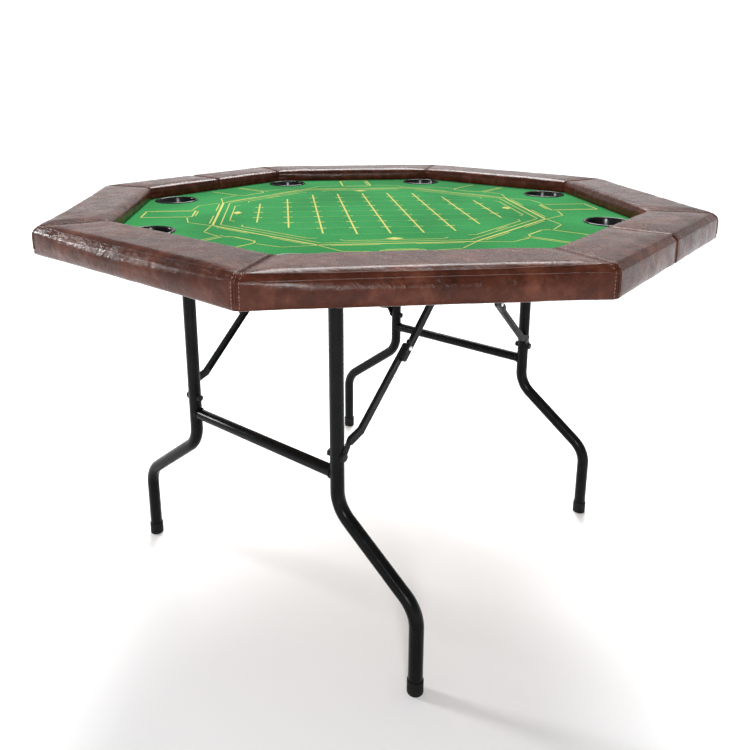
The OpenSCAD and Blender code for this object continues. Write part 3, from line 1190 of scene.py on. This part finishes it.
@dataclass
class FeltTop:
    """The stretched felt and the lines printed on it.

    Attributes:
        top: Height of the felt.
        reach: Distance of the felt's sides from the middle.
        cup_circle: Distance of the cups from the middle.
        hole: Radius of a cup's hole.
        thick: The felt's thickness.
        print_lift: How far the print lies above the felt.
        quilt_pitch: Distance between the lines of the quilted middle.
        strips: The printed lines made so far.
        faint: The faint lines made so far.
    """

    top: float = 0.0
    reach: float = 0.6
    cup_circle: float = 0.4666
    hole: float = 0.0424
    thick: float = 0.0009
    print_lift: float = 0.00012
    quilt_pitch: float = 0.0851
    strips: list[bpy.types.Object] = field(default_factory=list)
    faint: list[bpy.types.Object] = field(default_factory=list)

    def __post_init__(self) -> None:
        """Reads the felt's place from the frame."""
        low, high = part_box("felt_cloth")
        self.top, self.reach = high.z, high.x
        low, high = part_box("cup_holder_1")
        self.cup_circle = math.hypot(low.x + high.x, low.y + high.y) / 2

    def build(self, finishes: Finishes) -> None:
        """Makes the felt and its print.

        Args:
            finishes: The table's finishes.
        """
        cloth = self.cloth()
        finishes.dress(cloth, "felt")
        finish_piece(cloth, "table_top", ["felt_cloth"])
        self.draw()
        lines = join(self.strips, "felt_print")
        finishes.dress(lines, "print")
        finish_piece(lines, "table_top")
        pale = join(self.faint, "felt_print_faint")
        finishes.dress(pale, "print_faint")
        finish_piece(pale, "table_top")

    def cloth(self) -> bpy.types.Object:
        """Cuts the eight-sided felt with its cup holes.

        Returns:
            The felt.
        """
        clear()
        bpy.ops.mesh.primitive_cylinder_add(
            vertices=8,
            radius=self.reach / CORNER_COS,
            depth=self.thick,
            end_fill_type="NGON",
            location=(0, 0, self.top - self.thick / 2),
            rotation=(0, 0, HALF_CORNER),
        )
        felt = bpy.context.object
        felt.name = "felt_sheet"
        settle(felt)
        clear()
        drills = []
        for k in range(8):
            at = turned(k + 0.5) @ Vector((self.cup_circle, 0, self.top))
            bpy.ops.mesh.primitive_cylinder_add(
                vertices=64, radius=self.hole, depth=0.02, location=at
            )
            drills.append(bpy.context.object)
            settle(drills[-1])
        drill = join(drills, "drill")
        apply_modifier(felt, "BOOLEAN", object=drill, operation="DIFFERENCE", solver="EXACT")
        bpy.data.objects.remove(drill)
        apply_modifier(felt, "TRIANGULATE")
        smooth(felt)
        return felt

    def line(self, start: Flat, end: Flat, lay: Lay = Lay.PLAIN, level: int = 0) -> None:
        """Prints one line.

        Args:
            start: Where it starts on the felt.
            end: Where it ends.
            lay: How wide it is.
            level: Its place in the stack where lines cross.
        """
        a, b = Vector(start), Vector(end)
        d = b - a
        clear()
        lift = self.top + self.print_lift * (1 + 0.35 * level)
        bpy.ops.mesh.primitive_plane_add(
            size=1.0,
            location=((a.x + b.x) / 2, (a.y + b.y) / 2, lift),
            rotation=(0, 0, math.atan2(d.y, d.x)),
        )
        made = bpy.context.object
        made.scale = (d.length + lay.value * 0.8, lay.value, 1)
        settle(made)
        self.strips.append(made)

    def path(
        self,
        points: Sequence[Flat],
        lay: Lay = Lay.PLAIN,
        closed: bool = False,
        turn: Matrix | None = None,
        level: int = 0,
    ) -> None:
        """Prints a run of lines through points.

        Args:
            points: The points, in order.
            lay: How wide the lines are.
            closed: Whether the last point is joined to the first.
            turn: Where the run is turned to, or None.
            level: Its place in the stack where lines cross.
        """
        spot = [(turn or Matrix.Identity(4)) @ Vector((*p, 0)) for p in points]
        ends = list(zip(spot, spot[1:], strict=False))
        if closed:
            ends.append((spot[-1], spot[0]))
        for a, b in ends:
            self.line((a.x, a.y), (b.x, b.y), lay, level)

    def diamond(self, at: Flat, wide: float, tall: float, turn: float = 0.0) -> None:
        """Prints one filled diamond.

        Args:
            at: Its middle on the felt.
            wide: Its width.
            tall: Its height.
            turn: How far it is turned, in radians.
        """
        clear()
        bpy.ops.mesh.primitive_circle_add(
            vertices=4,
            radius=1.0,
            fill_type="NGON",
            location=(at[0], at[1], self.top + self.print_lift * 2),
            rotation=(0, 0, turn),
        )
        made = bpy.context.object
        made.scale = (wide / 2, tall / 2, 1)
        settle(made)
        self.strips.append(made)

    def octagon(self, reach: float, lay: Lay, level: int = 0) -> None:
        """Prints an eight-sided outline.

        Args:
            reach: Distance of its corners from the middle.
            lay: How wide the lines are.
            level: Its place in the stack where lines cross.
        """
        angles = [math.radians(EIGHTH * (k + 0.5)) for k in range(8)]
        self.path(
            [(reach * math.cos(a), reach * math.sin(a)) for a in angles], lay, True, level=level
        )

    def draw(self) -> None:
        """Prints the border, the eight places, the link lines and the quilted middle."""
        self.octagon(0.349, Lay.BOLD)
        self.octagon(0.3335, Lay.FINE, level=1)
        apothem = 0.318 * CORNER_COS
        for k in range(8):
            self.path(
                [
                    (apothem - 0.010, -0.094),
                    (apothem, -0.084),
                    (apothem, 0.084),
                    (apothem - 0.010, 0.094),
                ],
                Lay.FINE,
                turn=turned(k),
                level=1,
            )
        for k in range(8):
            self.place_box(k)
        limit = 0.247
        for i in range(-4, 5):
            self.quilt(i * self.quilt_pitch, limit, Lay.PLAIN, True)
            self.quilt(i * self.quilt_pitch, limit, Lay.FINE, False)
        for x, y in ((1, 1), (1, -1), (-1, 1), (-1, -1)):
            self.diamond(
                (0.201 * x, 0.201 * y), 0.034, 0.020, math.radians(45 if x * y < 0 else -45)
            )
        for k in (0, 4):
            self.path([(-0.30, -0.02), (-0.30, 0.02)], Lay.FINE, turn=turned(k))

    def place_box(self, k: int) -> None:
        """Prints one player's box and the lines that tie it to the border.

        Args:
            k: The side of the table, counted from +X.
        """
        turn = turned(k)
        w = 0.036
        if k % 2:
            self.path([(0.372, -w), (0.472, -w), (0.472, w), (0.372, w)], Lay.PLAIN, True, turn)
            self.path([(0.366, -w + 0.010), (0.366, w - 0.010)], Lay.FINE, turn=turn, level=1)
            self.path([(0.380, -w + 0.006), (0.464, -w + 0.006)], Lay.FINE, turn=turn, level=1)
        else:
            self.path(
                [
                    (0.470, -w - 0.004),
                    (0.378, -w - 0.004),
                    (0.366, -w + 0.008),
                    (0.366, w - 0.008),
                    (0.378, w + 0.004),
                    (0.470, w + 0.004),
                ],
                Lay.PLAIN,
                False,
                turn,
            )
            self.path([(0.470, -w - 0.013), (0.370, -w - 0.013)], Lay.FINE, turn=turn, level=1)
        for s in (-1, 1):
            for ends in (
                ((0.322, 0.136), (0.372, 0.098)),
                ((0.372, 0.098), (0.380, 0.048)),
                ((0.330, 0.112), (0.330, 0.030)),
            ):
                self.path([(x, s * y) for x, y in ends], Lay.FINE, turn=turn, level=1)

    def quilt(self, offset: float, limit: float, lay: Lay, rising: bool) -> None:
        """Prints one line of the quilted middle, with small ticks along a main one.

        Args:
            offset: x + y (or x - y) along the line.
            limit: Half the width of the quilted field.
            lay: How wide the line is.
            rising: Whether it is a main line, with x + y fixed.
        """
        ends: list[Vector] = []
        for t in (-1, 1):
            x = offset / 2 + t * min(limit - abs(offset) / 2, 0.17)
            y = offset - x
            ends.append(Vector((x, y if rising else -y)))
        self.line(tuple(ends[0]), tuple(ends[1]), lay, 0 if rising else 1)
        if not rising:
            self.faint.append(self.strips.pop())
            return
        run = ends[1] - ends[0]
        across = Vector((-run.y, run.x)).normalized() * 0.0075
        for i in range(-6, 7):
            difference = i * self.quilt_pitch
            at = Vector(((offset + difference) / 2, (offset - difference) / 2))
            if not min(e.x for e in ends) + 0.004 < at.x < max(e.x for e in ends) - 0.004:
                continue
            self.line(tuple(at - across), tuple(at + across), Lay.BOLD, 2)


# ---------------------------------------------------------------- cup holders


@dataclass
class CupHolders:
    """Eight drop-in cup holders.

    Attributes:
        circle: Distance of the cups from the middle.
        rim: Radius of the rim.
        throat: Inner radius at the top.
        floor: Inner radius at the bottom.
    """

    circle: float = 0.4666
    rim: float = 0.0473
    throat: float = 0.0402
    floor: float = 0.0372

    def build(self, finishes: Finishes) -> None:
        """Models one holder and copies it to the eight places.

        Args:
            finishes: The table's finishes.
        """
        low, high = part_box("cup_holder_1")
        self.circle = math.hypot(low.x + high.x, low.y + high.y) / 2
        source = self.model(low.z, high.z)
        for k in range(8):
            name = f"cup_holder_{k + 1}"
            cup = twin(
                source,
                f"drop_in_cup_{k + 1}",
                turned(k + 0.5) @ Matrix.Translation((self.circle, 0, 0)),
            )
            finishes.dress(cup, "cup_plastic")
            finish_piece(cup, BODY_OF[name], [name])
        bpy.data.objects.remove(source)

    def model(self, low: float, high: float) -> bpy.types.Object:
        """Shapes a cup from a disc: floor, wall, rolled rim and outer skirt.

        Args:
            low: Height of the cup's underside.
            high: Height of the rim's top.

        Returns:
            The closed cup, centred on the Z axis.
        """
        outline: list[Flat] = [
            (self.floor - 0.004, low + 0.0016),
            (self.floor, low + 0.0045),
            (self.throat, high - 0.0035),
            (self.throat + 0.0010, high - 0.0012),
            (self.throat + 0.0028, high - 0.0001),
            (self.rim - 0.0022, high - 0.0003),
            (self.rim - 0.0004, high - 0.0013),
            (self.rim, high - 0.0022),
            (self.rim - 0.0004, high - 0.0026),
            (self.throat + 0.0017, high - 0.0027),
            (self.throat + 0.0012, high - 0.0040),
            (self.floor + 0.0017, low + 0.0030),
            (self.floor - 0.0030, low),
            (0.0, low),
            (0.0, low + 0.0016),
        ]
        clear()
        bpy.ops.mesh.primitive_plane_add(size=0.001, location=(0, 0, 0))
        made = bpy.context.object
        bpy.ops.object.mode_set(mode="EDIT")
        bpy.ops.mesh.delete(type="VERT")
        shape = bmesh.from_edit_mesh(made.data)
        verts = [shape.verts.new((r, 0, z)) for r, z in outline]
        for a, b in zip(verts, verts[1:] + verts[:1], strict=True):
            shape.edges.new((a, b))
        bmesh.update_edit_mesh(made.data)
        bpy.ops.mesh.select_all(action="SELECT")
        bpy.ops.mesh.spin(steps=72, angle=math.tau, center=(0, 0, 0), axis=(0, 0, 1), dupli=False)
        bpy.ops.mesh.select_all(action="SELECT")
        bpy.ops.mesh.remove_doubles(threshold=0.00002)
        bpy.ops.mesh.normals_make_consistent(inside=False)
        leave()
        smooth(made, 50)
        return made


# ---------------------------------------------------------------- leg frames


@dataclass
class LegFrames:
    """Bent tubes, weld beads and foot caps of both leg frames.

    Attributes:
        tube: Radius of the leg tube.
        bend: Radius of its bends.
        top_x: Distance of its upper part from the middle.
        foot_x: Distance of its foot from the middle.
        high: Height of its upper bend.
    """

    tube: float = 0.0127
    bend: float = 0.062
    top_x: float = 0.19
    foot_x: float = 0.36
    high: float = 0.286

    def corners(self) -> list[Vector]:
        """Finds the corners of the leg's centre line.

        Returns:
            The corners in the XZ plane, top to bottom.
        """
        low = self.high - (self.foot_x - self.top_x) * 0.75
        pivot_low, pivot_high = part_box("pivot_tube_a")
        pivot = (pivot_low.z + pivot_high.z) / 2
        return [
            Vector((self.top_x, 0, pivot - 0.0095)),
            Vector((self.top_x, 0, self.high)),
            Vector((self.foot_x, 0, low)),
            Vector((self.foot_x, 0, 0.003)),
        ]

    def rounded(self) -> list[Vector]:
        """Draws the leg's centre line with its two bends as arcs.

        Returns:
            The points of the line, top to bottom.
        """
        points = self.corners()
        out = [points[0]]
        for before, at, after in zip(points, points[1:], points[2:], strict=False):
            u, w = (before - at).normalized(), (after - at).normalized()
            half = u.angle(w) / 2
            centre = at + (u + w).normalized() * (self.bend / math.sin(half))
            reach = self.bend / math.tan(half)
            first, last = at + u * reach, at + w * reach
            a, b = (first - centre).normalized(), (last - centre).normalized()
            for i in range(19):
                out.append(centre + a.slerp(b, i / 18) * self.bend)
        out.append(points[-1])
        return out

    def leg(self) -> bpy.types.Object:
        """Sweeps the tube along its centre line.

        Returns:
            The +X leg, in the XZ plane.
        """
        made = sweep("leg", self.rounded(), self.tube, 10)
        activate(made)
        bpy.ops.object.mode_set(mode="EDIT")
        bpy.ops.mesh.select_all(action="SELECT")
        bpy.ops.mesh.remove_doubles(threshold=0.00001)
        bpy.ops.mesh.normals_make_consistent(inside=False)
        leave()
        smooth(made, 40)
        return made

    def cap(self) -> bpy.types.Object:
        """Models one foot cap under the +X leg: a cup with a rounded sole.

        Returns:
            The cap.
        """
        low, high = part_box("foot_cap_b1")
        r = (high.x - low.x) / 2
        clear()
        bpy.ops.mesh.primitive_cylinder_add(
            vertices=48,
            radius=r,
            depth=high.z - low.z,
            location=(self.foot_x, 0, (high.z + low.z) / 2),
        )
        made = bpy.context.object
        settle(made)
        pick(made, "FACE", lambda p: p.z > high.z - ON_PLANE)
        bpy.ops.mesh.inset(thickness=r - self.tube - 0.00015)
        bpy.ops.mesh.extrude_region_move(TRANSFORM_OT_translate={"value": (0, 0, -0.004)})
        leave()
        pick(
            made,
            "EDGE",
            lambda p: p.z < low.z + ON_PLANE and math.hypot(p.x - self.foot_x, p.y) > r * 0.9,
        )
        bpy.ops.mesh.bevel(offset=0.0022, segments=4)
        leave()
        pick(
            made,
            "EDGE",
            lambda p: abs(p.z - high.z) < ON_PLANE
            and math.hypot(p.x - self.foot_x, p.y) > r * 0.95,
        )
        bpy.ops.mesh.bevel(offset=0.0008, segments=2)
        leave()
        smooth(made, 40)
        return made

    def bead(self, radius: float, across: Vector, at: Vector) -> bpy.types.Object:
        """Models a weld bead round a tube's end.

        Args:
            radius: The tube's radius.
            across: The tube's direction.
            at: The bead's centre.

        Returns:
            The rippled ring.
        """
        clear()
        turn = Vector((0, 0, 1)).rotation_difference(across).to_euler()
        bpy.ops.mesh.primitive_torus_add(
            major_segments=64,
            minor_segments=10,
            major_radius=radius + 0.0004,
            minor_radius=0.0016,
            location=at,
            rotation=turn,
        )
        made = bpy.context.object
        settle(made)
        texture = bpy.data.textures.get("weld_ripple") or bpy.data.textures.new(
            "weld_ripple", "CLOUDS"
        )
        texture.noise_scale = 0.004
        apply_modifier(
            made,
            "DISPLACE",
            texture=texture,
            texture_coords="LOCAL",
            strength=0.0012,
            mid_level=0.5,
        )
        smooth(made, 60)
        return made

    def build(self, finishes: Finishes) -> None:
        """Makes the tubes, caps and beads of both frames.

        Args:
            finishes: The table's finishes.
        """
        leg, cap = self.leg(), self.cap()
        for side in ("a", "b"):
            body = "leg_frame_" + side
            pivot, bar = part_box("pivot_tube_" + side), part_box("crossbar_" + side)
            y = (pivot[0].y + pivot[1].y) / 2
            bar_middle, bar_radius = (bar[0].z + bar[1].z) / 2, (bar[1].z - bar[0].z) / 2
            beads = []
            for number, sign in ((1, 1), (2, -1)):
                turn = Matrix.Identity(4) if sign > 0 else Matrix.Rotation(math.pi, 4, "Z")
                move = Matrix.Translation((0, y, 0)) @ turn
                for source, look, stem, slot in (
                    (leg, "bent_", "leg_tube", "leg_paint"),
                    (cap, "rubber_", "foot_cap", "foot_rubber"),
                ):
                    node = f"{stem}_{side}{number}"
                    made = twin(source, look + node, move)
                    finishes.dress(made, slot)
                    finish_piece(made, body, [node])
                inner_x = sign * (self.top_x - self.tube + 0.0008)
                beads.append(
                    self.bead(bar_radius, Vector((1, 0, 0)), Vector((inner_x, y, bar_middle)))
                )
                top = Vector((sign * self.top_x, y, pivot[0].z + 0.0015))
                beads.append(self.bead(self.tube, Vector((0, 0, 1)), top))
            made = join(beads, "weld_beads_" + side)
            finishes.dress(made, "leg_paint")
            finish_piece(made, body)
        bpy.data.objects.remove(leg)
        bpy.data.objects.remove(cap)


# ---------------------------------------------------------------- hardware


@dataclass
class Hardware:
    """Brackets, arms, bolts, rivets and bars, with their edges eased.

    Attributes:
        eased: Width of the eased edge by the start of the node's name.
    """

    eased: dict[str, float] = field(
        default_factory=lambda: {
            "pivot_tube": 0.0006,
            "crossbar": 0.0004,
            "saddle": 0.0005,
            "lower_arm": 0.0007,
            "upper_arm": 0.0007,
            "knee_rivet": 0.0006,
            "leg_bolt": 0.0007,
            "brace_bracket": 0.0005,
            "brace_pin": 0.0005,
        }
    )

    def build(self, finishes: Finishes) -> None:
        """Refines every small metal node and stands the result in for it.

        Args:
            finishes: The table's finishes.
        """
        for node in sorted(frame["nodes"]):
            stem = next(
                (s for s in self.eased if node.startswith(s) and node != "saddle_screws"), None
            )
            if stem is None:
                continue
            made = self.refine(node, self.eased[stem])
            finishes.dress(made, SLOT_OF[node])
            finish_piece(made, BODY_OF[node], [node])

    def refine(self, node: str, ease: float) -> bpy.types.Object:
        """Merges a copy of a node's mesh and eases its sharp edges.

        Args:
            node: The CAD node.
            ease: Width of the eased edge.

        Returns:
            The refined piece.
        """
        made = frame["nodes"][node].copy()
        made.data = made.data.copy()
        made.parent = None
        made.name = "eased_" + node
        for key in list(made.keys()):
            if key.startswith("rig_"):
                del made[key]
        bpy.context.scene.collection.objects.link(made)
        activate(made)
        bpy.ops.object.mode_set(mode="EDIT")
        bpy.ops.mesh.select_all(action="SELECT")
        bpy.ops.mesh.remove_doubles(threshold=0.00001)
        bpy.ops.mesh.dissolve_limited(angle_limit=math.radians(1.0))
        leave()
        apply_modifier(
            made,
            "BEVEL",
            width=ease,
            segments=2,
            limit_method="ANGLE",
            angle_limit=math.radians(40),
            use_clamp_overlap=True,
            harden_normals=False,
        )
        smooth(made, 32)
        return made


def dress_frame(finishes: Finishes) -> None:
    """Gives every CAD node its finish.

    Args:
        finishes: The table's finishes.
    """
    for name, node in frame["nodes"].items():
        finishes.dress(node, SLOT_OF[name])
        LOG.info("%s: dressed in %s", name, SLOT_OF[name])


# ---------------------------------------------------------------- setting


@dataclass
class Studio:
    """Floor, lights and camera.

    Attributes:
        eye: Where the camera stands.
        yaw: How far it is turned, in degrees.
        pitch: How far it looks down, in degrees.
        lens: Its focal length in millimetres.
        shift: Its shift sideways and up.
        floor_wide: Width of the floor.
        sun_from: The direction that the main light comes from.
        sun_power: Its strength.
        sun_spread: Its width in degrees.
    """

    eye: Point = (0.924, -1.186, 0.999)
    yaw: float = 38.95
    pitch: float = 14.44
    lens: float = 34.76
    shift: Flat = (0.018, -0.1416)
    floor_wide: float = 240
    sun_from: Point = (-1.0, 1.5, 2.3)
    sun_power: float = 5.0
    sun_spread: float = 34

    def build(self) -> None:
        """Makes the pale floor, the soft lights and the camera."""
        clear()
        bpy.ops.mesh.primitive_plane_add(size=self.floor_wide, location=(0, 0, 0))
        floor = bpy.context.object
        floor.name = "floor"
        g = fresh("floor_paper", Roughness=0.75)
        g.link(
            g.ramp(
                g.noise(g.place(), 0.4), [(0.3, (0.875, 0.88, 0.885)), (0.7, (0.885, 0.89, 0.895))]
            ),
            g.shader.inputs["Base Color"],
        )
        floor.data.materials.append(g.material)
        self.sky()
        bpy.ops.object.light_add(
            type="SUN", location=(0, 0, 3), rotation=self.facing(self.sun_from)
        )
        sun = bpy.context.object
        sun.name = "key"
        sun.data.energy = self.sun_power
        sun.data.angle = math.radians(self.sun_spread)
        self.lamp("front", (2.4, -2.9, 1.9), (0, 0, 0.5), 0.7, 80.0)
        self.lamp("left", (-2.9, -1.3, 1.6), (0, 0, 0.6), 0.6, 60.0)
        bpy.ops.object.camera_add(
            location=self.eye, rotation=(math.radians(90 - self.pitch), 0, math.radians(self.yaw))
        )
        eye = bpy.context.object
        eye.data.sensor_width = 36.0
        eye.data.lens = self.lens
        eye.data.shift_x, eye.data.shift_y = self.shift
        eye.data.clip_start = 0.02
        bpy.context.scene.camera = eye
        bpy.context.scene.view_settings.view_transform = "Standard"

    def sky(self) -> None:
        """Makes the world: white at the horizon, greyer overhead."""
        world = bpy.data.worlds.new("studio")
        bpy.context.scene.world = world
        world.use_nodes = True
        nodes, links = world.node_tree.nodes, world.node_tree.links
        where = nodes.new("ShaderNodeTexCoord")
        parts = nodes.new("ShaderNodeSeparateXYZ")
        band = nodes.new("ShaderNodeValToRGB")
        links.new(where.outputs["Generated"], parts.inputs[0])
        links.new(parts.outputs["Z"], band.inputs["Fac"])
        links.new(band.outputs["Color"], nodes["Background"].inputs["Color"])
        band.color_ramp.elements[0].position = 0.16
        band.color_ramp.elements[0].color = (1.0, 1.0, 1.0, 1.0)
        band.color_ramp.elements[1].position = 0.42
        band.color_ramp.elements[1].color = (0.36, 0.37, 0.39, 1.0)
        nodes["Background"].inputs["Strength"].default_value = 1.02

    def facing(self, toward: Point) -> Point:
        """Returns the turn that points a light down from a direction."""
        return tuple((-Vector(toward)).to_track_quat("-Z", "Y").to_euler())

    def lamp(self, name: str, at: Point, aim: Point, size: float, power: float) -> None:
        """Adds one square soft light.

        Args:
            name: The light's name.
            at: Where it stands.
            aim: What it points at.
            size: Its width.
            power: Its power in watts.
        """
        turn = (Vector(aim) - Vector(at)).to_track_quat("-Z", "Y").to_euler()
        bpy.ops.object.light_add(type="AREA", location=at, rotation=turn)
        made = bpy.context.object
        made.name = name
        made.data.size = size
        made.data.energy = power


def main() -> None:
    """Builds the whole table, piece by piece."""
    logging.basicConfig(level=logging.INFO, format="%(name)s %(message)s")
    clear()
    finishes = Finishes()
    finishes.build()
    dress_frame(finishes)
    Studio().build()
    PaddedRail().build(finishes)
    FeltTop().build(finishes)
    CupHolders().build(finishes)
    LegFrames().build(finishes)
    Hardware().build(finishes)
    clear()


if __name__ == "__main__":
    main()
